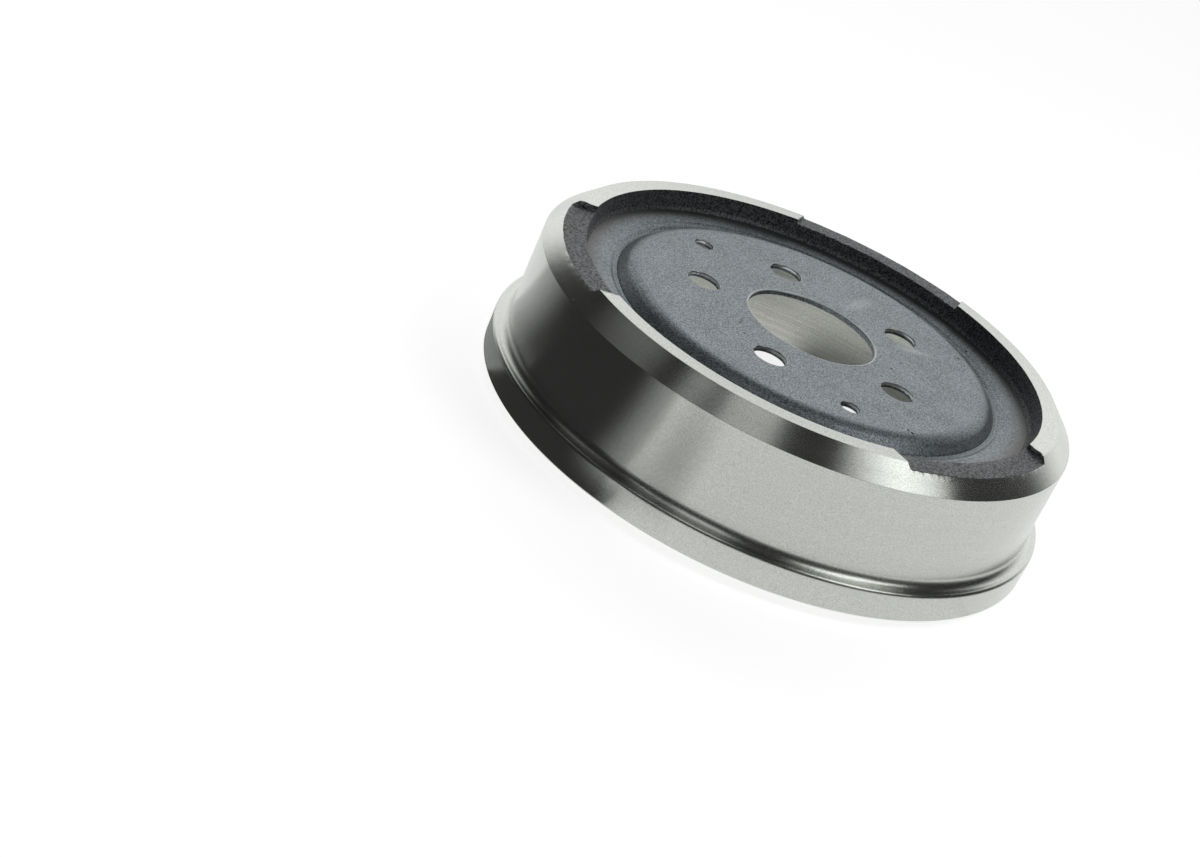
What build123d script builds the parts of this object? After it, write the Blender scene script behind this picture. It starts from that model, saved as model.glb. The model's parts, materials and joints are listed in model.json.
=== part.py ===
"""Composite brake drum: a pressed steel web with an iron ring cast round its edge.

The drum stands on its open end. Z = 0 is the end of the friction ring and +Z points to the
wheel side. The axis is Z, and one wheel bolt hole lies on +X. All sizes are in millimetres.
"""

import os
from math import radians, tan

from build123d import *

# --- Friction ring: overall ---
friction_dia = 252.0
ring_wall = 10.0
overall_height = 76.75
mouth_chamfer = 0.8

# --- Friction ring: crown on the wheel side, above the web ---
crown_height = 9.55
crown_chamfer_radial = 10.0
crown_chamfer_height = 9.3
land_width = 8.8
well_draft = 15.0  # degrees, lean of the wall inside the land
well_toe_height = 1.8
well_toe_reach = 1.2
well_toe_radius = 3.0

# --- Friction ring: cast pockets through the crown ---
pocket_count = 3
pocket_width = 93.0
pocket_depth = 2.35
pocket_draft = 15.0  # degrees
pocket_corner_radius = 0.8
pocket_angle = 15.0  # degrees, first pocket from the bolt hole on +X

# --- Friction ring: mouth, backing plate groove and lip at the open end ---
mouth_wall = 4.4
mouth_draft = 0.5
groove_depth = 13.0
groove_width = 6.2
groove_radius = 2.0
lip_reach = 6.7  # beyond the body of the ring
lip_setback = 5.0
lip_height = 15.0
lip_end_width = 1.2
lip_end_chamfer = 1.0
lip_draft = 0.2
lip_top_radius = 1.85
lip_shelf = 0.35  # flat left between the lip's rounded edge and the neck

# --- Web pressing ---
web_thickness = 3.0
web_grip = 5.0  # how deep its edge sits in the ring wall
face_rise = 3.4  # wheel face above the seat in the ring
valley_drop = 3.6  # bottom of the valley below the seat
valley_inset = 15.7  # bottom of the valley inward from the ring
valley_radius = 1.5
step_slope = 45.0  # degrees, valley up to the wheel face
face_corner_radius = 10.0
hub_face_margin = 1.2  # machined face stops short of the step
hub_face_depth = 0.3
skim_width = 8.0  # band faced by the boring tool, beside the friction surface
skim_depth = 0.8

# --- Holes in the web ---
bore_dia = 65.4
bore_chamfer = 0.4
bolt_circle_dia = 112.0
bolt_count = 5
bolt_hole_dia = 16.5
service_inset = 16.2  # hole centres inward from the edge of the wheel face
service_hole_dia = 9.5
service_angles = (-36.0, 108.0)  # degrees, each midway between two bolt holes

# --- Places on the ring that follow from the sizes above ---
friction_radius = friction_dia / 2
body_radius = friction_radius + ring_wall
land_outer = body_radius - crown_chamfer_radial
land_inner = land_outer - land_width
seat_height = overall_height - crown_height
friction_depth = seat_height - web_thickness
toe_height = seat_height + well_toe_height
toe_radius = land_inner - (overall_height - toe_height) * tan(radians(well_draft))
well_radius = toe_radius - well_toe_reach
pocket_floor = overall_height - pocket_depth

mouth_radius = friction_radius + mouth_wall
groove_inner = mouth_radius + mouth_draft
groove_outer = groove_inner + groove_width
lip_radius = body_radius + lip_reach
lip_top = lip_setback + lip_height
lip_end_outer = lip_radius - lip_draft - lip_end_chamfer
lip_end_inner = lip_end_outer - lip_end_width
neck_radius = lip_reach - lip_top_radius - lip_shelf

# --- Places on the web that follow from the sizes above ---
web_radius = friction_radius + web_grip
face_height = seat_height + face_rise
valley_height = seat_height - valley_drop
valley_bottom = well_radius - valley_inset
face_corner = valley_bottom - (face_rise + valley_drop) / tan(radians(step_slope))
hub_face_height = face_height - web_thickness + hub_face_depth
service_circle = face_corner - service_inset


def corner(shape, radius, height):
    """The corner of a section that lies nearest to a radius and a height."""
    return shape.vertices().sort_by_distance((radius, height, 0))[0]


# --- Friction ring: one turned section with the web's slot in it, and the pockets cut in ---
with BuildPart() as friction_ring:
    with BuildSketch(Plane.XZ) as ring_section:
        with BuildLine():
            Polyline(
                (friction_radius, friction_depth),
                (friction_radius, mouth_chamfer),
                (friction_radius + mouth_chamfer, 0),
                (mouth_radius, 0),
                (groove_inner, groove_depth),
                (groove_outer, groove_depth),
                (lip_end_inner, lip_setback),
                (lip_end_outer, lip_setback),
                (lip_radius - lip_draft, lip_setback + lip_end_chamfer),
                (lip_radius, lip_top),
                (body_radius, lip_top),
                (body_radius, overall_height - crown_chamfer_height),
                (land_outer, overall_height),
                (land_inner, overall_height),
                (toe_radius, toe_height),
                (well_radius, seat_height),
                (web_radius, seat_height),
                (web_radius, friction_depth),
                close=True,
            )
        make_face()
        fillet(corner(ring_section, groove_inner, groove_depth), groove_radius)
        fillet(corner(ring_section, groove_outer, groove_depth), groove_radius)
        fillet(corner(ring_section, lip_radius, lip_top), lip_top_radius)
        fillet(corner(ring_section, body_radius, lip_top), neck_radius)
        fillet(corner(ring_section, toe_radius, toe_height), well_toe_radius)
    revolve(axis=Axis.Z)

    with BuildSketch(Plane.XY.offset(pocket_floor)):
        with PolarLocations(body_radius, pocket_count, start_angle=pocket_angle):
            Rectangle(2 * (body_radius - toe_radius), pocket_width)
    extrude(amount=2 * pocket_depth, taper=-pocket_draft, mode=Mode.SUBTRACT)
    floor_edges = friction_ring.edges().filter_by(GeomType.LINE)
    floor_edges = floor_edges.filter_by_position(Axis.Z, pocket_floor - 0.01, pocket_floor + 0.01)
    fillet(floor_edges, pocket_corner_radius)
friction_ring.part.label = "friction_ring"

# --- Web: a sheet of even thickness, then faced for the hub and beside the friction surface ---
with BuildPart() as web_disc:
    with BuildSketch(Plane.XZ):
        with BuildLine() as wheel_side:
            Line((web_radius, seat_height), (well_radius, seat_height))
            TangentArc((well_radius, seat_height), (valley_bottom, valley_height), tangent=(-1, 0))
            Line((valley_bottom, valley_height), (face_corner, face_height))
            Line((face_corner, face_height), (bore_dia / 2, face_height))
            fillet(corner(wheel_side, face_corner, face_height), face_corner_radius)
            fillet(corner(wheel_side, valley_bottom, valley_height), valley_radius)
            offset(amount=web_thickness, side=Side.LEFT)
        make_face()
    revolve(axis=Axis.Z)

    with BuildSketch(Plane.XY.offset(hub_face_height)):
        Circle(face_corner - hub_face_margin)
    extrude(amount=-web_thickness, mode=Mode.SUBTRACT)

    with BuildSketch(Plane.XY.offset(friction_depth + skim_depth)):
        Circle(friction_radius)
        Circle(friction_radius - skim_width, mode=Mode.SUBTRACT)
    extrude(amount=-web_thickness, mode=Mode.SUBTRACT)

    with BuildSketch(Plane.XY.offset(face_height)):
        with PolarLocations(bolt_circle_dia / 2, bolt_count):
            Circle(bolt_hole_dia / 2)
        for angle in service_angles:
            with PolarLocations(service_circle, 1, start_angle=angle):
                Circle(service_hole_dia / 2)
    extrude(amount=-2 * web_thickness, mode=Mode.SUBTRACT)

    bore_edges = web_disc.edges().filter_by(GeomType.CIRCLE)
    bore_edges = bore_edges.filter_by(lambda edge: abs(edge.radius - bore_dia / 2) < bore_chamfer)
    chamfer(bore_edges, bore_chamfer)
web_disc.part.label = "web_disc"

os.makedirs("parts", exist_ok=True)
export_step(friction_ring.part, "parts/friction_ring.step")
export_step(web_disc.part, "parts/web_disc.step")
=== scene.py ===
"""Looks of a composite brake drum: a turned iron ring, a blasted steel web and a pale studio.

Sizes are in metres, unless a name ends in _mm or a comment says mm. The drum's axis is Z, and it
stands on its open end at Z = 0.
"""

import json
import math

import bmesh
import bpy
from mathutils import Matrix, Vector, noise


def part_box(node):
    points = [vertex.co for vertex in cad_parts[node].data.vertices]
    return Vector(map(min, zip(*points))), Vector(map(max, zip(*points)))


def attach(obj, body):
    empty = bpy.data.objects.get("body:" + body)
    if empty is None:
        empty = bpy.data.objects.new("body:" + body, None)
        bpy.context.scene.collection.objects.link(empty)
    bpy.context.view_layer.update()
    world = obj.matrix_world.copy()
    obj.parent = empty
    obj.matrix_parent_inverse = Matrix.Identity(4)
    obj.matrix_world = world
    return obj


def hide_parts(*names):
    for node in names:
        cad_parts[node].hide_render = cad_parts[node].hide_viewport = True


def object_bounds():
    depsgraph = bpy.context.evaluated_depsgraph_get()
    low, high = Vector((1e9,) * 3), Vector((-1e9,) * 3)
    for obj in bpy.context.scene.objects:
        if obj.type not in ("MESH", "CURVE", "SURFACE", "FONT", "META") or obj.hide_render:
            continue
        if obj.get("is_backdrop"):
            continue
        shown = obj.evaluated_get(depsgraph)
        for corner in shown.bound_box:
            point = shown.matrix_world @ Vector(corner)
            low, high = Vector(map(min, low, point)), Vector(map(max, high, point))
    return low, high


bl_info = {
    "name": "Composite brake drum",
    "version": (1, 0, 0),
    "blender": (4, 5, 0),
    "location": "View3D > Sidebar > Brake drum",
    "description": "Finishes a brake drum's iron ring and steel web, and sets a studio round them",
    "category": "Object",
}

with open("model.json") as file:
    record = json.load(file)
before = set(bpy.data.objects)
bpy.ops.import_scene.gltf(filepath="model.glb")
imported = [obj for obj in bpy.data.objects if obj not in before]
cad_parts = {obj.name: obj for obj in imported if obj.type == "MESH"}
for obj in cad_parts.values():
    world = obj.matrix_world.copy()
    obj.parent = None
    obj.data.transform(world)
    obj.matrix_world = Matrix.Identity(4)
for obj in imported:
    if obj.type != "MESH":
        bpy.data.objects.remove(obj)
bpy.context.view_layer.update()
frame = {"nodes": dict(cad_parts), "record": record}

MM = 0.001
AXIS = Vector((0, 0, 1))
RING = "friction_ring"
WEB = "web_disc"

# --- Material numbers of faces. A piece's main material is 0 ---
WALL = 1  # on the ring
POCKET = 2
BORED = 3
FACED = 1  # on the web
SHEARED = 2

# --- Tolerances ---
WELD = 0.001 * MM  # vertices nearer than this are one
SECTION_WELD = 0.01 * MM  # the same for the points of a section
SECTION_PLANE = 0.0001 * MM  # a vertex nearer to a section's plane lies on it
SECTION_BEND = math.radians(0.5)  # a section's line that bends less is straight
CUT_SLACK = 1e-5  # share of a piece's volume that a clean cut may be out by

# --- Ring ---
WELL_DEPTH = 4 * MM  # from the top of the web down past the foot of the cast wall
WALL_SLOPE = 0.9  # a face belongs to the wall if its normal's height is less than this
LINING_MARGIN = 0.5 * MM  # how far outside the lining's radius a face still counts as bored
WALL_WAVES = 2.3 * MM  # spacing of the waves in the cast wall
POCKET_WAVES = 2.7 * MM  # and in the pockets
POCKET_GRID = 1.5 * MM  # spacing of the lines that let a pocket's faces wave
CORE_REACH = 40 * MM  # length of a pocket's core along the radius
RING_DENTS = (  # radius, azimuth in degrees, height and size, in mm
    (135.1, 27.2, 68.55, 0.5),
    (135.1, 35.6, 68.55, 0.5),
)

# --- Web ---
FORMING_LINES = (  # radius and height, in mm
    (103.2, -0.3),
    (101.2, 0.3),
    (99.4, -0.3),
    (97.2, 0.25),
)
FORMING_HALF_WIDTH = 0.8 * MM  # of a forming line
BURR_PLACE = 0.8 * MM  # crest of the burr, outside the bore
BURR_HALF_WIDTH = 0.35 * MM
BURR_HEIGHT = 0.1 * MM
PALE_RIM = 1.1 * MM  # width of the rubbed rim round the bore
PALE_RIM_FADE = 0.5 * MM  # how much of it fades out
FACED_SLOPE = -0.99  # a face is a faced one if its normal's height is less than this
FACED_NEAR = 0.02 * MM  # and it lies this near to a faced height
PUNCH_STEPS = 64  # facets round a punch
PUNCH_WEAR = 0.12 * MM  # how uneven the worn punch is
PUNCH_WAVES = 2.9 * MM  # spacing of that wear
WEB_DENTS = (  # radius, azimuth in degrees, height and size, in mm
    (42.8, 167.2, 70.6, 0.75),
    (85.4, -153.2, 70.6, 0.8),
    (104.6, -142.3, 66.0, 0.8),
    (88.6, 127.3, 70.5, 0.8),
    (86.5, 126.5, 70.5, 0.7),
    (43.8, 38.8, 70.7, 0.65),
    (45.8, 41.4, 70.7, 0.6),
    (51.4, 52.3, 70.7, 0.7),
)
SCUFFS = (  # radius, azimuth in degrees, length and width, in mm
    (58.0, -113.0, 11.0, 34.0),
    (57.0, -156.0, 8.0, 26.0),
)

# --- Studio. Angles are in degrees, and a brightness of 1 is white ---
WHITE = "#FFFFFF"
PAPER = "#E8E8E8"
FLOOR_DROP = 0.05 * MM  # the floor is this far below the drum's end, so that they share no plane
FLOOR_REACH = 8.0  # from the drum's axis to the nearest edge of the floor
FLOOR_GLOW = 0.8  # what the camera sees on top of the light on the floor
FLOOR_OUTSIDE = 0.75  # what reflections see beyond the drum
FLOOR_PAINTED_SHADE = (0.1, 0.78)  # painted shade: what reflections see of the paper inside the drum, dark on its -X side and pale on its +X side, in place of the drum's shade
FLOOR_PAINTED_SHADE_SPLIT = (-0.017, -0.005)  # X between which the painted shade's dark side turns into its pale side
FLOOR_PAINTED_SHADE_EDGE = (0.12, 0.135)  # radii between which the painted shade inside the drum turns into the paper beyond it

SWEEP_AZIMUTH = 268  # of its middle, behind the drum
SWEEP_ELEVATION = 5
SWEEP_EDGE = 43  # from its middle to where it ends
SWEEP_FADE = 12  # how far it fades on either side of that edge
SWEEP = 1.2  # brightness of the sweep
ROOM = 0.035  # and of the room round it

LAMP_DISTANCE = 1.5  # from the middle of the drum's open end
SOFT_BOXES = (  # name, azimuth, elevation, size and brightness
    ("key", 164, 55, (0.6, 0.7), 2.2),
    ("top", 74, 69, (0.4, 0.75), 0.78),
    ("fill", -3, 50, (0.7, 0.5), 0.25),
    ("edge", 37, 65, (0.14, 0.5), 0.85),
)
CARD_GAP = 0.5 * MM  # between a card and the drum's box
CARD_FADE = (0.01, 0.08)  # heights between which a card darkens
CARD_STEPS = 24  # facets along a card
CARDS = (
    # name, azimuth, width, lift in mm, far radius, height of the far edge, brightness, and then for
    # each side its brightness and the share of half the width over which it comes in
    ("side_card", 21, 74, 1.5, 0.27, 0.26, 0.042, ((0.55, 0.7), (0.5, 0.36))),
    ("lip_card", 41, 44, 2.5, 0.165, 0.003, 0.042, ((0.042, 0.1), (0.2, 0.15))),
    ("lip_left_card", 6, 26, 3.5, 0.165, 0.004, 0.3, ((0.3, 0.1), (0.042, 0.15))),
    ("lip_front_card", 105, 82, 1.5, 0.172, 0.002, 1.0, ((0.75, 0.1), (0.9, 0.1))),
    ("front_card", 67, 14, 1.0, 0.27, 0.003, 0.45, ((0.75, 0.9), (0.75, 0.9))),
)

CAMERA_PLACE = (0.116036, 1.005138, 0.466559)
CAMERA_HEADING = -92.501
CAMERA_FALL = -25.948
CAMERA_ROLL = 24.25
CAMERA_LENS_MM = 68.16
CAMERA_SENSOR_MM = 36.0
CAMERA_CLIP = 0.01


# --- Reading the frame ---


def mount(name):
    """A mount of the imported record."""
    return next(entry for entry in frame["record"]["mounts"] if entry["name"] == name)


def opening_centre(name):
    """The middle of an opening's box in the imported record."""
    openings = frame["record"]["physics"]["openings"]
    low, high = next(entry["box_m"] for entry in openings if entry["name"] == name)
    return (Vector(low) + Vector(high)) / 2


# --- Mesh tools ---


def section_outline(node_name, azimuth):
    """The outline of a CAD node's half section, cut at an azimuth and laid in XZ."""
    outline = bmesh.new()
    outline.from_mesh(frame["nodes"][node_name].data)
    bmesh.ops.remove_doubles(outline, verts=outline.verts, dist=WELD)
    turn = Matrix.Rotation(-azimuth, 3, "Z")
    bmesh.ops.rotate(outline, cent=(0, 0, 0), matrix=turn, verts=outline.verts)
    everything = outline.verts[:] + outline.edges[:] + outline.faces[:]
    bmesh.ops.bisect_plane(
        outline,
        geom=everything,
        dist=SECTION_PLANE,
        plane_co=(0, 0, 0),
        plane_no=(0, 1, 0),
        clear_inner=True,
        clear_outer=True,
    )
    far_half = [vert for vert in outline.verts if vert.co.x < 0]
    bmesh.ops.delete(outline, geom=far_half, context="VERTS")
    bmesh.ops.remove_doubles(outline, verts=outline.verts, dist=SECTION_WELD)
    bmesh.ops.dissolve_limit(
        outline, angle_limit=SECTION_BEND, verts=outline.verts, edges=outline.edges
    )
    return outline


def revolve(outline, steps):
    """Spins an outline in XZ once round the axis and points its faces outwards."""
    bmesh.ops.spin(
        outline,
        geom=outline.verts[:] + outline.edges[:],
        cent=(0, 0, 0),
        axis=AXIS,
        angle=math.tau,
        steps=steps,
        use_merge=True,
    )
    bmesh.ops.remove_doubles(outline, verts=outline.verts, dist=WELD)
    bmesh.ops.recalc_face_normals(outline, faces=outline.faces)


def break_edges(solid, edges, width):
    """Rounds edges over by a small width."""
    bmesh.ops.bevel(
        solid,
        geom=edges,
        offset=width,
        offset_type="OFFSET",
        segments=2,
        profile=0.5,
        affect="EDGES",
        material=-1,
        clamp_overlap=True,
    )


def crimp(outline, radius, half_width, height):
    """Raises or sinks a narrow ring on the upper side of an outline in XZ."""
    for place in (radius - half_width, radius, radius + half_width):
        bmesh.ops.bisect_plane(
            outline,
            geom=outline.verts[:] + outline.edges[:],
            dist=WELD,
            plane_co=(place, 0, 0),
            plane_no=(1, 0, 0),
        )
    crest = [vert for vert in outline.verts if abs(vert.co.x - radius) < SECTION_WELD]
    max(crest, key=lambda vert: vert.co.z).co.z += height


def roughen(verts, amount, spacing):
    """Moves vertices by up to an amount, with a noise that changes about every spacing. The noise
    isn't seeded here, so its pattern differs from one run of Blender to the next."""
    for vert in verts:
        vert.co += noise.noise_vector(vert.co / spacing) * amount


def creases(solid, least):
    """Edges whose two faces meet at more than the least angle."""
    shared = [edge for edge in solid.edges if edge.is_manifold]
    return [edge for edge in shared if edge.calc_face_angle() > least]


def to_object(solid, name, materials):
    """Makes an object from a bmesh and lets the bmesh go."""
    mesh = bpy.data.meshes.new(name)
    solid.to_mesh(mesh)
    solid.free()
    for material in materials:
        mesh.materials.append(material)
    piece = bpy.data.objects.new(name, mesh)
    bpy.context.scene.collection.objects.link(piece)
    return piece


def volume(piece):
    """The volume inside a closed piece."""
    solid = bmesh.new()
    solid.from_mesh(piece.data)
    amount = solid.calc_volume()
    solid.free()
    return amount


def cut(piece, cutter):
    """Takes a cutter out of a piece and removes the cutter."""
    before = volume(piece)
    boolean = piece.modifiers.new("cut", "BOOLEAN")
    boolean.object = cutter
    boolean.operation = "DIFFERENCE"
    boolean.solver = "MANIFOLD"
    boolean.material_mode = "INDEX"
    settle(piece)
    taken = before - volume(piece)
    slack = before * CUT_SLACK
    if not -slack < taken < volume(cutter) + slack:
        raise RuntimeError(f"{cutter.name} did not cut {piece.name} cleanly")
    bpy.data.objects.remove(cutter)


def dent(piece, marks):
    """Cuts small round pits, in the piece's main material. Each mark is a radius, an azimuth in
    degrees, a height and a size, in mm."""
    tool = bmesh.new()
    for radius, azimuth, height, size in marks:
        place = Matrix.Rotation(math.radians(azimuth), 3, "Z") @ Vector((radius, 0, height)) * MM
        level = Matrix.Translation(place)
        bmesh.ops.create_icosphere(tool, subdivisions=2, radius=size * MM, matrix=level)
    cut(piece, to_object(tool, "dents", []))


def settle(piece):
    """Applies a piece's modifiers to its mesh."""
    depsgraph = bpy.context.evaluated_depsgraph_get()
    before = piece.data
    piece.data = bpy.data.meshes.new_from_object(piece.evaluated_get(depsgraph))
    piece.data.name = piece.name
    piece.modifiers.clear()
    bpy.data.meshes.remove(before)


def smooth(piece, crease_angle):
    """Shades a piece smooth between its creases, and keeps flats flat beside rounded edges."""
    piece.data.shade_smooth()
    piece.data.set_sharp_from_angle(angle=crease_angle)
    weighted = piece.modifiers.new("weighted", "WEIGHTED_NORMAL")
    weighted.mode = "FACE_AREA"
    weighted.keep_sharp = True
    settle(piece)


# --- Material tools ---


def colour(code):
    """Linear RGBA of an sRGB hex colour."""
    channels = [int(code[place : place + 2], 16) / 255 for place in (1, 3, 5)]
    linear = [c / 12.92 if c <= 0.04045 else ((c + 0.055) / 1.055) ** 2.4 for c in channels]
    return (*linear, 1.0)


def add(tree, kind, settings=None, **inputs):
    """Adds a node. Settings are its properties. Inputs are its sockets by number, _0 and up, or by
    name with _ for a space, each given a value or another node's output."""
    node = tree.nodes.new("ShaderNode" + kind)
    for key, value in (settings or {}).items():
        setattr(node, key, value)
    for key, value in inputs.items():
        socket = node.inputs[int(key[1:]) if key[1:].isdigit() else key.replace("_", " ")]
        if isinstance(value, bpy.types.NodeSocket):
            tree.links.new(value, socket)
        else:
            socket.default_value = value
    return node


def new_material(name):
    """An empty node material and its tree."""
    material = bpy.data.materials.new(name)
    material.use_nodes = True
    material.node_tree.nodes.clear()
    return material, material.node_tree


def per_mm(spacing_mm):
    """The scale of a pattern on metre coordinates that repeats about every spacing."""
    return 1 / (spacing_mm * MM)


def distance_from_axis(tree, place):
    """How far a place is from the drum's axis."""
    flat = add(tree, "VectorMath", {"operation": "MULTIPLY"}, _0=place, _1=(1, 1, 0)).outputs[0]
    return add(tree, "VectorMath", {"operation": "LENGTH"}, _0=flat).outputs["Value"]


def lathe_space(tree):
    """Coordinates that run across the marks of a lathe tool: radius, height and a little of the
    angle, so that a mark changes along its length."""
    place = add(tree, "TexCoord").outputs["Object"]
    radius = distance_from_axis(tree, place)
    parts = add(tree, "SeparateXYZ", Vector=place)
    angle = add(
        tree, "Math", {"operation": "ARCTAN2"}, _0=parts.outputs["Y"], _1=parts.outputs["X"]
    ).outputs[0]
    drift_per_radian = 1.5 * MM
    drift = add(tree, "Math", {"operation": "MULTIPLY"}, _0=angle, _1=drift_per_radian).outputs[0]
    return add(tree, "CombineXYZ", X=radius, Y=parts.outputs["Z"], Z=drift).outputs[0]


def smear(tree, place, radius_mm, azimuth, length_mm, width_mm):
    """How strong a rubbed patch is: an oval across the radius, streaked and soft at its edge."""
    angle = math.radians(azimuth)
    oval = add(
        tree,
        "Mapping",
        {"vector_type": "TEXTURE"},
        Vector=place,
        Location=Matrix.Rotation(angle, 3, "Z") @ Vector((radius_mm, 0, 0)) * MM,
        Rotation=(0, 0, angle),
        Scale=(width_mm / 2 * MM, length_mm / 2 * MM, 1),
    ).outputs[0]
    flat = add(tree, "VectorMath", {"operation": "MULTIPLY"}, _0=oval, _1=(1, 1, 0)).outputs[0]
    reach = add(tree, "VectorMath", {"operation": "LENGTH"}, _0=flat).outputs["Value"]
    streaks = add(tree, "TexNoise", Vector=flat, Scale=2.5, Detail=3.0).outputs["Fac"]
    edge = add(tree, "Math", {"operation": "SUBTRACT"}, _0=reach, _1=streaks).outputs[0]
    return add(
        tree,
        "MapRange",
        {"interpolation_type": "SMOOTHSTEP"},
        Value=edge,
        From_Min=0.6,
        From_Max=-0.4,
        To_Min=0.0,
        To_Max=0.35,
    ).outputs["Result"]


def turned_metal(name, bright, dull, roughness, anisotropy, lines):
    """Grey cast iron or low-carbon steel, turned on a lathe. The tool's rings make a satin metal
    that draws each reflection out across them, with a fine dull speckle and a share of faint
    lines. The tool's real feed of about 0.15 mm is drawn at 0.9 mm, and the iron's graphite
    flakes of 0.1 mm at 0.55 mm, so that they show."""
    material, tree = new_material(name)
    rings = lathe_space(tree)
    place = add(tree, "TexCoord").outputs["Object"]
    feed = add(tree, "TexNoise", Vector=rings, Scale=per_mm(0.9), Detail=1.0).outputs["Fac"]
    bands = add(tree, "TexNoise", Vector=rings, Scale=per_mm(7.0), Detail=2.0).outputs["Fac"]
    flakes = add(tree, "TexNoise", Vector=place, Scale=per_mm(0.55), Detail=1.0).outputs["Fac"]
    marks = add(tree, "Mix", _0=lines, _2=flakes, _3=feed).outputs[0]
    share = add(tree, "MapRange", Value=marks, From_Min=0.4, From_Max=0.6, To_Min=0.0, To_Max=1.0)
    tone = add(
        tree,
        "Mix",
        {"data_type": "RGBA"},
        _0=share.outputs["Result"],
        _6=colour(dull),
        _7=colour(bright),
    )
    unevenness = 0.01
    rough = add(
        tree,
        "MapRange",
        Value=bands,
        From_Min=0.3,
        From_Max=0.7,
        To_Min=roughness - unevenness,
        To_Max=roughness + unevenness,
    )
    bump = add(tree, "Bump", Strength=1.0, Distance=0.0005 * MM, Height=feed)
    grain = add(tree, "Tangent", {"direction_type": "RADIAL", "axis": "Z"})
    shader = add(
        tree,
        "BsdfPrincipled",
        Base_Color=tone.outputs[2],
        Metallic=1.0,
        Roughness=rough.outputs["Result"],
        Anisotropic=anisotropy,
        Anisotropic_Rotation=0.25,
        Tangent=grain.outputs[0],
        Normal=bump.outputs[0],
    )
    add(tree, "OutputMaterial", Surface=shader.outputs[0])
    return material


def cast_skin(name, light, dark, sand_mm, depth):
    """Grey iron, sand-cast and shot-blasted: a dark grey skin with the grain of the moulding sand.
    Real grains are 0.2 to 0.5 mm across and are drawn at 0.9 mm or more so that they show."""
    material, tree = new_material(name)
    place = add(tree, "TexCoord").outputs["Object"]
    sand = add(
        tree, "TexNoise", Vector=place, Scale=per_mm(sand_mm), Detail=2.0, Roughness=0.6
    ).outputs["Fac"]
    share = add(tree, "MapRange", Value=sand, From_Min=0.38, From_Max=0.62, To_Min=0.0, To_Max=1.0)
    tone = add(
        tree,
        "Mix",
        {"data_type": "RGBA"},
        _0=share.outputs["Result"],
        _6=colour(dark),
        _7=colour(light),
    )
    bump = add(tree, "Bump", Strength=1.0, Distance=depth, Height=sand)
    shader = add(
        tree,
        "BsdfPrincipled",
        Base_Color=tone.outputs[2],
        Metallic=0.3,
        Roughness=0.5,
        Normal=bump.outputs[0],
    )
    add(tree, "OutputMaterial", Surface=shader.outputs[0])
    return material


def blasted_steel(name, settings, bore):
    """Low-carbon steel sheet, pressed and shot-blasted: an even blue-grey of small dents that glint
    and shade, with faint blotches, a few pits and some pale scuffs. A brown painted shade darkens
    it towards its edge, where the ring's cast wall shades it, and the punch has left a pale rim
    round the bore. Real dents are about 0.2 mm across and are drawn at 0.8 mm so that they show."""
    material, tree = new_material(name)
    rubbed_colour = colour(settings.steel_rubbed)
    place = add(tree, "TexCoord").outputs["Object"]
    radius = distance_from_axis(tree, place)
    shot = add(
        tree, "TexNoise", Vector=place, Scale=per_mm(0.8), Detail=1.0, Roughness=0.6
    ).outputs["Fac"]
    blotches = add(tree, "TexNoise", Vector=place, Scale=per_mm(18.0), Detail=3.0).outputs["Fac"]
    blotch_share = 0.15
    both = add(
        tree, "Math", {"operation": "MULTIPLY_ADD"}, _0=blotches, _1=blotch_share, _2=shot
    ).outputs[0]
    share = add(tree, "MapRange", Value=both, From_Min=0.38, From_Max=0.77, To_Min=0.0, To_Max=1.0)
    tone = add(
        tree,
        "Mix",
        {"data_type": "RGBA"},
        _0=share.outputs["Result"],
        _6=colour(settings.steel_dark),
        _7=colour(settings.steel_light),
    ).outputs[2]
    # painted shade: the steel darkens to a brown grey towards the ring's cast wall, in place of the
    # wall's shade
    wall_shade = add(
        tree,
        "MapRange",
        {"interpolation_type": "SMOOTHSTEP"},
        Value=radius,
        From_Min=settings.wall_shade_start,
        From_Max=settings.wall_shade_end,
        To_Min=0.0,
        To_Max=0.75,
    ).outputs["Result"]
    tone = add(
        tree, "Mix", {"data_type": "RGBA"}, _0=wall_shade, _6=tone, _7=colour(settings.steel_wall_shade)
    ).outputs[2]
    for scuff in SCUFFS:
        faint = smear(tree, place, *scuff)
        tone = add(
            tree, "Mix", {"data_type": "RGBA"}, _0=faint, _6=tone, _7=rubbed_colour
        ).outputs[2]
    normal = add(tree, "NewGeometry").outputs["Normal"]
    level = add(tree, "SeparateXYZ", Vector=normal).outputs["Z"]
    worn = add(
        tree,
        "MapRange",
        Value=radius,
        From_Min=bore + PALE_RIM,
        From_Max=bore + PALE_RIM - PALE_RIM_FADE,
        To_Min=0.0,
        To_Max=level,
    ).outputs["Result"]
    tone = add(tree, "Mix", {"data_type": "RGBA"}, _0=worn, _6=tone, _7=rubbed_colour).outputs[2]
    spots = add(tree, "TexVoronoi", Vector=place, Scale=per_mm(8.0)).outputs["Distance"]
    pits = add(
        tree, "MapRange", Value=spots, From_Min=0.055, From_Max=0.03, To_Min=0.0, To_Max=1.0
    ).outputs["Result"]
    tone = add(
        tree, "Mix", {"data_type": "RGBA"}, _0=pits, _6=tone, _7=colour(settings.steel_pit)
    ).outputs[2]
    pit_height = -3.0  # in the height of a dent
    height = add(
        tree, "Math", {"operation": "MULTIPLY_ADD"}, _0=pits, _1=pit_height, _2=shot
    ).outputs[0]
    bump = add(tree, "Bump", Strength=1.0, Distance=0.016 * MM, Height=height)
    shader = add(
        tree,
        "BsdfPrincipled",
        Base_Color=tone,
        Metallic=0.9,
        Roughness=0.46,
        Normal=bump.outputs[0],
    )
    add(tree, "OutputMaterial", Surface=shader.outputs[0])
    return material


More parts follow.
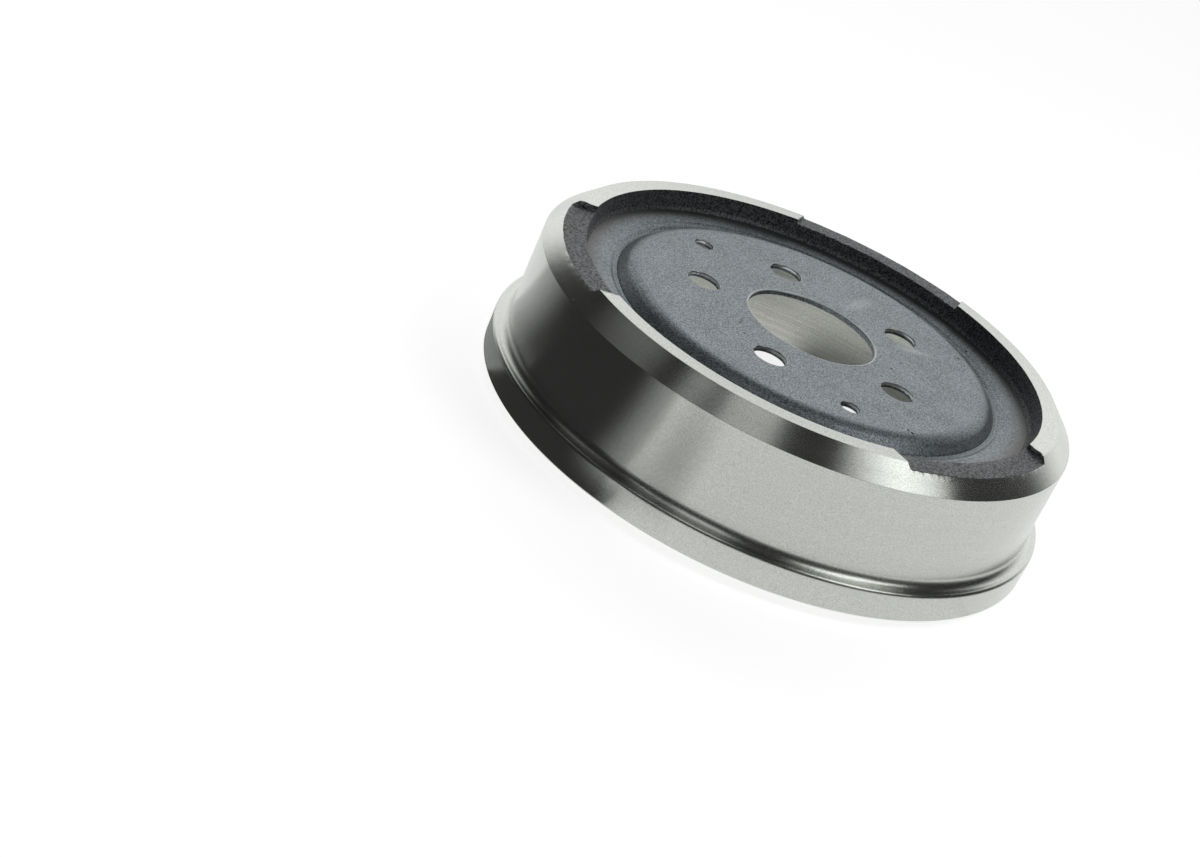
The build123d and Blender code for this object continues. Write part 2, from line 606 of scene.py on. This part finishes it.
def sheared_steel(name, bright, torn, low_edge):
    """The punched wall of a hole in low-carbon steel sheet: the punch burnishes its upper part to a
    bright band, and below that the metal tears and stays dark and rough."""
    material, tree = new_material(name)
    place = add(tree, "TexCoord").outputs["Object"]
    ragged = add(tree, "TexNoise", Vector=place, Scale=per_mm(1.5), Detail=2.0).outputs["Fac"]
    height = add(tree, "SeparateXYZ", Vector=place).outputs["Z"]
    raggedness = 1.5 * MM
    torn_end = low_edge + 1.5 * MM
    bright_start = low_edge + 2.2 * MM
    edge = add(
        tree, "Math", {"operation": "MULTIPLY_ADD"}, _0=ragged, _1=raggedness, _2=height
    ).outputs[0]
    share = add(
        tree,
        "MapRange",
        Value=edge,
        From_Min=torn_end,
        From_Max=bright_start,
        To_Min=0.0,
        To_Max=1.0,
    ).outputs["Result"]
    tone = add(
        tree, "Mix", {"data_type": "RGBA"}, _0=share, _6=colour(torn), _7=colour(bright)
    ).outputs[2]
    rough = add(
        tree, "MapRange", Value=share, From_Min=0.0, From_Max=1.0, To_Min=0.5, To_Max=0.28
    ).outputs["Result"]
    bump = add(tree, "Bump", Strength=1.0, Distance=0.03 * MM, Height=ragged)
    shader = add(
        tree,
        "BsdfPrincipled",
        Base_Color=tone,
        Metallic=1.0,
        Roughness=rough,
        Normal=bump.outputs[0],
    )
    add(tree, "OutputMaterial", Surface=shader.outputs[0])
    return material


# --- Settings ---


class BrakeDrumSettings(bpy.types.PropertyGroup):
    """Sizes and colours of the finished drum."""

    steps: bpy.props.IntProperty(
        name="Steps", description="Facets round the turned pieces", default=360, min=64
    )
    edge_break: bpy.props.FloatProperty(
        name="Edge break",
        description="Width of the rounding on turned edges",
        default=0.25 * MM,
        unit="LENGTH",
    )
    crease: bpy.props.FloatProperty(
        name="Crease",
        description="Least angle that counts as an edge",
        default=math.radians(24),
        subtype="ANGLE",
    )
    ring_section: bpy.props.FloatProperty(
        name="Ring section",
        description="Azimuth between two pockets",
        default=math.radians(75),
        subtype="ANGLE",
    )
    web_section: bpy.props.FloatProperty(
        name="Web section",
        description="Azimuth clear of every hole",
        default=math.radians(36),
        subtype="ANGLE",
    )
    pocket_count: bpy.props.IntProperty(
        name="Pockets", description="Cast pockets in the crown", default=3
    )
    pocket_angle: bpy.props.FloatProperty(
        name="Pocket angle",
        description="Azimuth of the first pocket",
        default=math.radians(15),
        subtype="ANGLE",
    )
    pocket_width: bpy.props.FloatProperty(
        name="Pocket width",
        description="Width of a pocket's floor",
        default=93 * MM,
        unit="LENGTH",
    )
    pocket_depth: bpy.props.FloatProperty(
        name="Pocket depth", description="Floor below the land", default=2.35 * MM, unit="LENGTH"
    )
    pocket_draft: bpy.props.FloatProperty(
        name="Pocket draft",
        description="Lean of a pocket's ends",
        default=math.radians(15),
        subtype="ANGLE",
    )
    pocket_corner: bpy.props.FloatProperty(
        name="Pocket corner",
        description="Rounding at a pocket's foot",
        default=0.8 * MM,
        unit="LENGTH",
    )
    cast_waves: bpy.props.FloatProperty(
        name="Cast waves",
        description="How uneven the cast faces are",
        default=0.2 * MM,
        unit="LENGTH",
    )
    service_hole: bpy.props.FloatProperty(
        name="Service hole",
        description="Diameter of the two small holes",
        default=9.5 * MM,
        unit="LENGTH",
    )
    hole_rim: bpy.props.FloatProperty(
        name="Hole rim",
        description="Rolled edge that the punch leaves",
        default=0.28 * MM,
        unit="LENGTH",
    )
    skim_height: bpy.props.FloatProperty(
        name="Skim height",
        description="Faced band beside the lining",
        default=65.0 * MM,
        unit="LENGTH",
    )
    # painted shade: between these radii the web darkens to a brown grey towards the ring's cast wall,
    # where the wall shades it
    wall_shade_start: bpy.props.FloatProperty(
        name="Wall shade start",
        description="Radius where the web begins to brown",
        default=104 * MM,
        unit="LENGTH",
    )
    wall_shade_end: bpy.props.FloatProperty(
        name="Wall shade end",
        description="Radius where the web is fully browned",
        default=114 * MM,
        unit="LENGTH",
    )
    iron_light: bpy.props.StringProperty(
        name="Turned iron", description="sRGB hex", default="#C9CCC7"
    )
    iron_dark: bpy.props.StringProperty(
        name="Graphite flecks", description="sRGB hex", default="#B7BAB5"
    )
    bored_light: bpy.props.StringProperty(
        name="Bored iron", description="sRGB hex", default="#C8C9C2"
    )
    bored_dark: bpy.props.StringProperty(
        name="Bored lines", description="sRGB hex", default="#B0B1AA"
    )
    cast_light: bpy.props.StringProperty(
        name="Cast light", description="sRGB hex", default="#84888B"
    )
    cast_dark: bpy.props.StringProperty(
        name="Cast dark", description="sRGB hex", default="#232323"
    )
    steel_light: bpy.props.StringProperty(
        name="Steel light", description="sRGB hex", default="#A6AEB2"
    )
    steel_dark: bpy.props.StringProperty(
        name="Steel dark", description="sRGB hex", default="#5A6064"
    )
    # colour of the painted shade by the ring's cast wall
    steel_wall_shade: bpy.props.StringProperty(
        name="Painted wall shade", description="sRGB hex", default="#69645F"
    )
    steel_rubbed: bpy.props.StringProperty(
        name="Rubbed steel", description="sRGB hex", default="#C2C8CA"
    )
    steel_pit: bpy.props.StringProperty(
        name="Pits in the steel", description="sRGB hex", default="#2E2F30"
    )
    steel_turned: bpy.props.StringProperty(
        name="Turned steel", description="sRGB hex", default="#B4B8B9"
    )


# --- Pieces ---


class FinishRing(bpy.types.Operator):
    """Spins the ring from its CAD section and cuts the cast pockets"""

    bl_idname = "object.finish_drum_ring"
    bl_label = "Finish ring"

    def execute(self, context):
        settings = context.scene.brake_drum
        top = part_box(RING)[1][2]
        well_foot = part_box(WEB)[1][2] - WELL_DEPTH
        solid = section_outline(RING, settings.ring_section)
        revolve(solid, settings.steps)
        break_edges(solid, creases(solid, settings.crease), settings.edge_break)
        solid.normal_update()
        bored_radius = mount("friction_surface")["dims"]["r_mm"] * MM + LINING_MARGIN
        for face in solid.faces:
            middle = face.calc_center_median()
            outward = face.normal.x * middle.x + face.normal.y * middle.y
            if middle.z > well_foot and outward < 0 and abs(face.normal.z) < WALL_SLOPE:
                face.material_index = WALL
            elif outward < 0 and math.hypot(middle.x, middle.y) < bored_radius:
                face.material_index = BORED
        well = {vert for face in solid.faces if face.material_index == WALL for vert in face.verts}
        roughen(well, settings.cast_waves / 2, WALL_WAVES)
        for vert in well:
            vert.co.z = min(vert.co.z, top)
        iron = turned_metal(
            "turned grey iron",
            settings.iron_light,
            settings.iron_dark,
            roughness=0.25,
            anisotropy=0.85,
            lines=0.08,
        )
        bored = turned_metal(
            "bored grey iron",
            settings.bored_light,
            settings.bored_dark,
            roughness=0.25,
            anisotropy=0.85,
            lines=0.4,
        )
        shades = (settings.cast_light, settings.cast_dark)
        wall = cast_skin("sand-cast iron wall", *shades, sand_mm=0.9, depth=0.08 * MM)
        floor = cast_skin("sand-cast iron pocket", *shades, sand_mm=1.3, depth=0.2 * MM)
        piece = to_object(solid, "turned_ring", [iron, wall, floor, bored])
        for number in range(settings.pocket_count):
            azimuth = settings.pocket_angle + number * math.tau / settings.pocket_count
            cut(piece, self.pocket(settings, azimuth, top, piece.data.materials))
        dent(piece, RING_DENTS)
        smooth(piece, settings.crease)
        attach(piece, "root")
        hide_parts(RING)
        return {"FINISHED"}

    def pocket(self, settings, azimuth, top, materials):
        """The core that leaves one pocket: a drafted block across the crown."""
        width = settings.pocket_width
        height = 2 * settings.pocket_depth
        core = bmesh.new()
        bmesh.ops.create_cube(core, size=1)
        bmesh.ops.scale(core, vec=(CORE_REACH, width, height), verts=core.verts)
        upper = [vert for vert in core.verts if vert.co.z > 0]
        lean = 2 * height * math.tan(settings.pocket_draft) / width
        bmesh.ops.scale(core, vec=(1, 1 + lean, 1), verts=upper)
        feet = []
        for edge in core.edges:
            start, end = edge.verts
            if abs(start.co.x - end.co.x) > CORE_REACH / 2 and start.co.z < 0:
                feet.append(edge)
        break_edges(core, feet, settings.pocket_corner)
        for way, size in ((Vector((1, 0, 0)), CORE_REACH), (Vector((0, 1, 0)), width)):
            for step in range(1, int(size / POCKET_GRID)):
                bmesh.ops.bisect_plane(
                    core,
                    geom=core.verts[:] + core.edges[:] + core.faces[:],
                    dist=WELD,
                    plane_co=way * (step * POCKET_GRID - size / 2),
                    plane_no=way,
                )
        middle = (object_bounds()[1][0] - CORE_REACH / 2, 0, top - settings.pocket_depth + height / 2)
        bmesh.ops.translate(core, vec=middle, verts=core.verts)
        turn = Matrix.Rotation(azimuth, 3, "Z")
        bmesh.ops.rotate(core, cent=(0, 0, 0), matrix=turn, verts=core.verts)
        roughen(core.verts, settings.cast_waves, POCKET_WAVES)
        for face in core.faces:
            face.material_index = POCKET
        return to_object(core, "pocket_core", materials)


class FinishWeb(bpy.types.Operator):
    """Spins the web from its CAD section and punches its holes"""

    bl_idname = "object.finish_drum_web"
    bl_label = "Finish web"

    def execute(self, context):
        settings = context.scene.brake_drum
        bore = mount("centre_bore")["dims"]["r_mm"] * MM
        solid = section_outline(WEB, settings.web_section)
        for radius, height in FORMING_LINES:
            crimp(solid, radius * MM, FORMING_HALF_WIDTH, height * MM)
        crimp(solid, bore + BURR_PLACE, BURR_HALF_WIDTH, BURR_HEIGHT)
        revolve(solid, settings.steps)
        hub_height = mount("hub_face")["pos_m"][2]
        faced = (hub_height, settings.skim_height)
        for face in solid.faces:
            height = face.calc_center_median().z
            near = any(abs(height - level) < FACED_NEAR for level in faced)
            if near and face.normal.z < FACED_SLOPE:
                face.material_index = FACED
        steel = blasted_steel("blasted sheet steel", settings, bore)
        turned = turned_metal(
            "turned sheet steel",
            settings.steel_turned,
            settings.steel_light,
            roughness=0.3,
            anisotropy=0.8,
            lines=0.3,
        )
        sheared = sheared_steel(
            "sheared sheet steel", settings.steel_turned, settings.steel_dark, hub_height
        )
        piece = to_object(solid, "pressed_web", [steel, turned, sheared])
        bolts = mount("wheel_bolts")["dims"]
        for number in range(bolts["count"]):
            turn = Matrix.Rotation(number * math.tau / bolts["count"], 3, "Z")
            centre = turn @ Vector((bolts["pcd_mm"] * MM / 2, 0, 0))
            radius = bolts["hole_r_mm"] * MM
            cut(piece, self.punch(settings, centre, radius, piece.data.materials))
        for name in ("service_hole_1", "service_hole_2"):
            centre = opening_centre(name)
            radius = settings.service_hole / 2
            cut(piece, self.punch(settings, centre, radius, piece.data.materials))
        dent(piece, WEB_DENTS)
        smooth(piece, settings.crease)
        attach(piece, "root")
        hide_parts(WEB)
        return {"FINISHED"}

    def punch(self, settings, centre, radius, materials):
        """A worn punch, which flares at the web's face and leaves a rolled and ragged edge."""
        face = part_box(WEB)[1][2]
        low, high = face / 2, face * 1.5
        bend = face - settings.hole_rim
        flare = radius + settings.hole_rim
        profile = ((0, low), (radius, low), (radius, bend), (flare, face), (flare, high), (0, high))
        body = bmesh.new()
        line = [body.verts.new((r, 0, z)) for r, z in profile]
        for pair in zip(line, line[1:]):
            body.edges.new(pair)
        revolve(body, PUNCH_STEPS)
        bends = [
            edge for edge in body.edges if all(abs(vert.co.z - bend) < WELD for vert in edge.verts)
        ]
        break_edges(body, bends, settings.hole_rim / 2)
        bmesh.ops.translate(body, vec=(centre.x, centre.y, 0), verts=body.verts)
        roughen(body.verts, PUNCH_WEAR, PUNCH_WAVES)
        for wall in body.faces:
            wall.material_index = SHEARED
        return to_object(body, "punch", materials)


class SetStage(bpy.types.Operator):
    """Lays the floor, hangs the lamps and stands the camera"""

    bl_idname = "object.set_drum_stage"
    bl_label = "Set stage"

    def execute(self, context):
        scene = context.scene
        scene.view_settings.view_transform = "Standard"
        self.floor()
        self.world(scene)
        self.lamps()
        self.camera(scene)
        return {"FINISHED"}

    def floor(self):
        """White paper, which keeps the drum's shadow. Reflections see it pale beyond the drum, and
        inside the drum they see a painted shade on it, dark on one side and pale on the other."""
        material, tree = new_material("white paper")
        path = add(tree, "LightPath")
        paper = add(tree, "BsdfDiffuse", Color=colour(PAPER))
        place = add(tree, "TexCoord").outputs["Object"]
        radius = add(tree, "VectorMath", {"operation": "LENGTH"}, _0=place).outputs["Value"]
        across = add(tree, "SeparateXYZ", Vector=place).outputs["X"]
        # painted shade: inside the drum the paper glows darker for reflections, most on its -X side,
        # in place of the drum's shade
        inside = add(
            tree,
            "MapRange",
            Value=across,
            From_Min=FLOOR_PAINTED_SHADE_SPLIT[0],
            From_Max=FLOOR_PAINTED_SHADE_SPLIT[1],
            To_Min=FLOOR_PAINTED_SHADE[0],
            To_Max=FLOOR_PAINTED_SHADE[1],
        ).outputs["Result"]
        mirrored = add(
            tree,
            "MapRange",
            Value=radius,
            From_Min=FLOOR_PAINTED_SHADE_EDGE[0],
            From_Max=FLOOR_PAINTED_SHADE_EDGE[1],
            To_Min=inside,
            To_Max=FLOOR_OUTSIDE,
        ).outputs["Result"]
        seen = add(
            tree,
            "Math",
            {"operation": "MULTIPLY"},
            _0=path.outputs["Is Camera Ray"],
            _1=FLOOR_GLOW,
        ).outputs[0]
        both = add(
            tree,
            "Math",
            {"operation": "MULTIPLY_ADD"},
            _0=path.outputs["Is Glossy Ray"],
            _1=mirrored,
            _2=seen,
        ).outputs[0]
        glow = add(tree, "Emission", Color=colour(WHITE), Strength=both)
        surface = add(tree, "AddShader", _0=paper.outputs[0], _1=glow.outputs[0])
        add(tree, "OutputMaterial", Surface=surface.outputs[0])
        material.cycles.emission_sampling = "NONE"
        sheet = bmesh.new()
        level = Matrix.Translation((0, 0, -FLOOR_DROP))
        bmesh.ops.create_grid(sheet, x_segments=1, y_segments=1, size=FLOOR_REACH, matrix=level)
        to_object(sheet, "floor", [material])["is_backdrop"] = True

    def world(self, scene):
        """A white sweep behind the drum that fades into a dark room. The camera sees white all
        round."""
        world = bpy.data.worlds.new("studio")
        world.use_nodes = True
        tree = world.node_tree
        tree.nodes.clear()
        way = add(tree, "TexCoord").outputs["Generated"]
        middle = self.toward(SWEEP_AZIMUTH, SWEEP_ELEVATION)
        near = add(
            tree, "VectorMath", {"operation": "DOT_PRODUCT"}, _0=way, _1=middle
        ).outputs["Value"]
        sweep = add(
            tree,
            "MapRange",
            {"interpolation_type": "SMOOTHSTEP"},
            Value=near,
            From_Min=math.cos(math.radians(SWEEP_EDGE + SWEEP_FADE)),
            From_Max=math.cos(math.radians(SWEEP_EDGE - SWEEP_FADE)),
            To_Min=ROOM,
            To_Max=SWEEP,
        ).outputs["Result"]
        seen = add(tree, "LightPath").outputs["Is Camera Ray"]
        strength = add(
            tree, "MapRange", Value=seen, From_Min=0.0, From_Max=1.0, To_Min=sweep, To_Max=1.0
        ).outputs["Result"]
        light = add(tree, "Background", Color=colour(WHITE), Strength=strength)
        add(tree, "OutputWorld", Surface=light.outputs[0])
        scene.world = world

    def toward(self, azimuth, elevation):
        """The direction of an azimuth and an elevation in degrees."""
        way = Vector((1, 0, 0))
        way.rotate(Matrix.Rotation(-math.radians(elevation), 3, "Y"))
        way.rotate(Matrix.Rotation(math.radians(azimuth), 3, "Z"))
        return way

    def lamps(self):
        """Hangs the soft boxes and lays out the cards."""
        for soft_box in SOFT_BOXES:
            self.soft_box(*soft_box)
        for card in CARDS:
            self.card(*card)

    def soft_box(self, name, azimuth, elevation, size, brightness):
        """A rectangular lamp that faces the drum."""
        lamp = bpy.data.lights.new(name, "AREA")
        lamp.shape = "RECTANGLE"
        lamp.size, lamp.size_y = size
        lamp.energy = brightness * math.pi * size[0] * size[1]
        holder = bpy.data.objects.new(name, lamp)
        outward = self.toward(azimuth, elevation)
        turn = (-outward).to_track_quat("-Z", "Y").to_matrix().to_4x4()
        holder.matrix_world = Matrix.Translation(LAMP_DISTANCE * outward) @ turn
        bpy.context.scene.collection.objects.link(holder)

    def card(self, name, azimuth, width, lift_mm, far, height, middle, sides):
        """A grey card that lies beside the drum, a few mm up, and turns up at its far edge. Its
        brightness changes towards both sides and falls off upwards. Only reflections see it."""
        material, tree = new_material("grey card")
        parts = add(tree, "SeparateXYZ", Vector=add(tree, "TexCoord").outputs["Object"])
        angle = add(
            tree, "Math", {"operation": "ARCTAN2"}, _0=parts.outputs["Y"], _1=parts.outputs["X"]
        ).outputs[0]
        shade = middle
        for side, (brightness, share) in zip((-1, 1), sides):
            end = azimuth + side * width / 2
            start = azimuth + side * width / 2 * (1 - share)
            shade = add(
                tree,
                "MapRange",
                {"interpolation_type": "SMOOTHSTEP"},
                Value=angle,
                From_Min=math.radians(start),
                From_Max=math.radians(end),
                To_Min=shade,
                To_Max=brightness,
            ).outputs["Result"]
        strength = add(
            tree,
            "MapRange",
            {"interpolation_type": "SMOOTHSTEP"},
            Value=parts.outputs["Z"],
            From_Min=CARD_FADE[0],
            From_Max=CARD_FADE[1],
            To_Min=shade,
            To_Max=middle / 2,
        ).outputs["Result"]
        glow = add(tree, "Emission", Color=colour(WHITE), Strength=strength)
        add(tree, "OutputMaterial", Surface=glow.outputs[0])
        material.cycles.emission_sampling = "NONE"
        sheet = bmesh.new()
        first = math.radians(azimuth - width / 2)
        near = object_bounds()[1][0] + CARD_GAP
        lift = lift_mm * MM
        corners = ((near, lift), (far, lift), (far, height))
        line = [sheet.verts.new((r * math.cos(first), r * math.sin(first), z)) for r, z in corners]
        edges = [sheet.edges.new(pair) for pair in zip(line, line[1:])]
        bmesh.ops.spin(
            sheet,
            geom=line + edges,
            cent=(0, 0, 0),
            axis=AXIS,
            angle=math.radians(width),
            steps=CARD_STEPS,
        )
        piece = to_object(sheet, name, [material])
        piece.visible_camera = False
        piece.visible_diffuse = False
        piece.visible_shadow = False
        piece.visible_transmission = False
        piece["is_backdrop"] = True

    def camera(self, scene):
        """A short telephoto lens, above the drum and rolled to one side."""
        lens = bpy.data.cameras.new("camera")
        lens.sensor_width = CAMERA_SENSOR_MM
        lens.lens = CAMERA_LENS_MM
        lens.clip_start = CAMERA_CLIP
        holder = bpy.data.objects.new("camera", lens)
        heading = math.radians(CAMERA_HEADING)
        fall = math.radians(CAMERA_FALL)
        roll = Matrix.Rotation(math.radians(CAMERA_ROLL), 4, "Z")
        flat = math.cos(fall)
        ahead = Vector((math.cos(heading) * flat, math.sin(heading) * flat, math.sin(fall)))
        level = ahead.to_track_quat("-Z", "Y").to_matrix().to_4x4()
        holder.matrix_world = Matrix.Translation(CAMERA_PLACE) @ level @ roll
        scene.collection.objects.link(holder)
        scene.camera = holder


class DrumPanel(bpy.types.Panel):
    """Lists the drum's settings and steps"""

    bl_idname = "VIEW3D_PT_brake_drum"
    bl_label = "Brake drum"
    bl_space_type = "VIEW_3D"
    bl_region_type = "UI"
    bl_category = "Brake drum"

    def draw(self, context):
        settings = context.scene.brake_drum
        for name in BrakeDrumSettings.__annotations__:
            self.layout.prop(settings, name)
        for step in OPERATORS:
            self.layout.operator(step.bl_idname)


OPERATORS = (FinishRing, FinishWeb, SetStage)
CLASSES = (BrakeDrumSettings, *OPERATORS, DrumPanel)


def register():
    """Registers the classes and gives the scene its settings."""
    for item in CLASSES:
        bpy.utils.register_class(item)
    bpy.types.Scene.brake_drum = bpy.props.PointerProperty(type=BrakeDrumSettings)


def unregister():
    """Takes the settings and the classes away again."""
    del bpy.types.Scene.brake_drum
    for item in reversed(CLASSES):
        bpy.utils.unregister_class(item)


def main():
    """Makes the whole scene."""
    register()
    bpy.ops.object.finish_drum_ring()
    bpy.ops.object.finish_drum_web()
    bpy.ops.object.set_drum_stage()


if __name__ == "__main__":
    main()
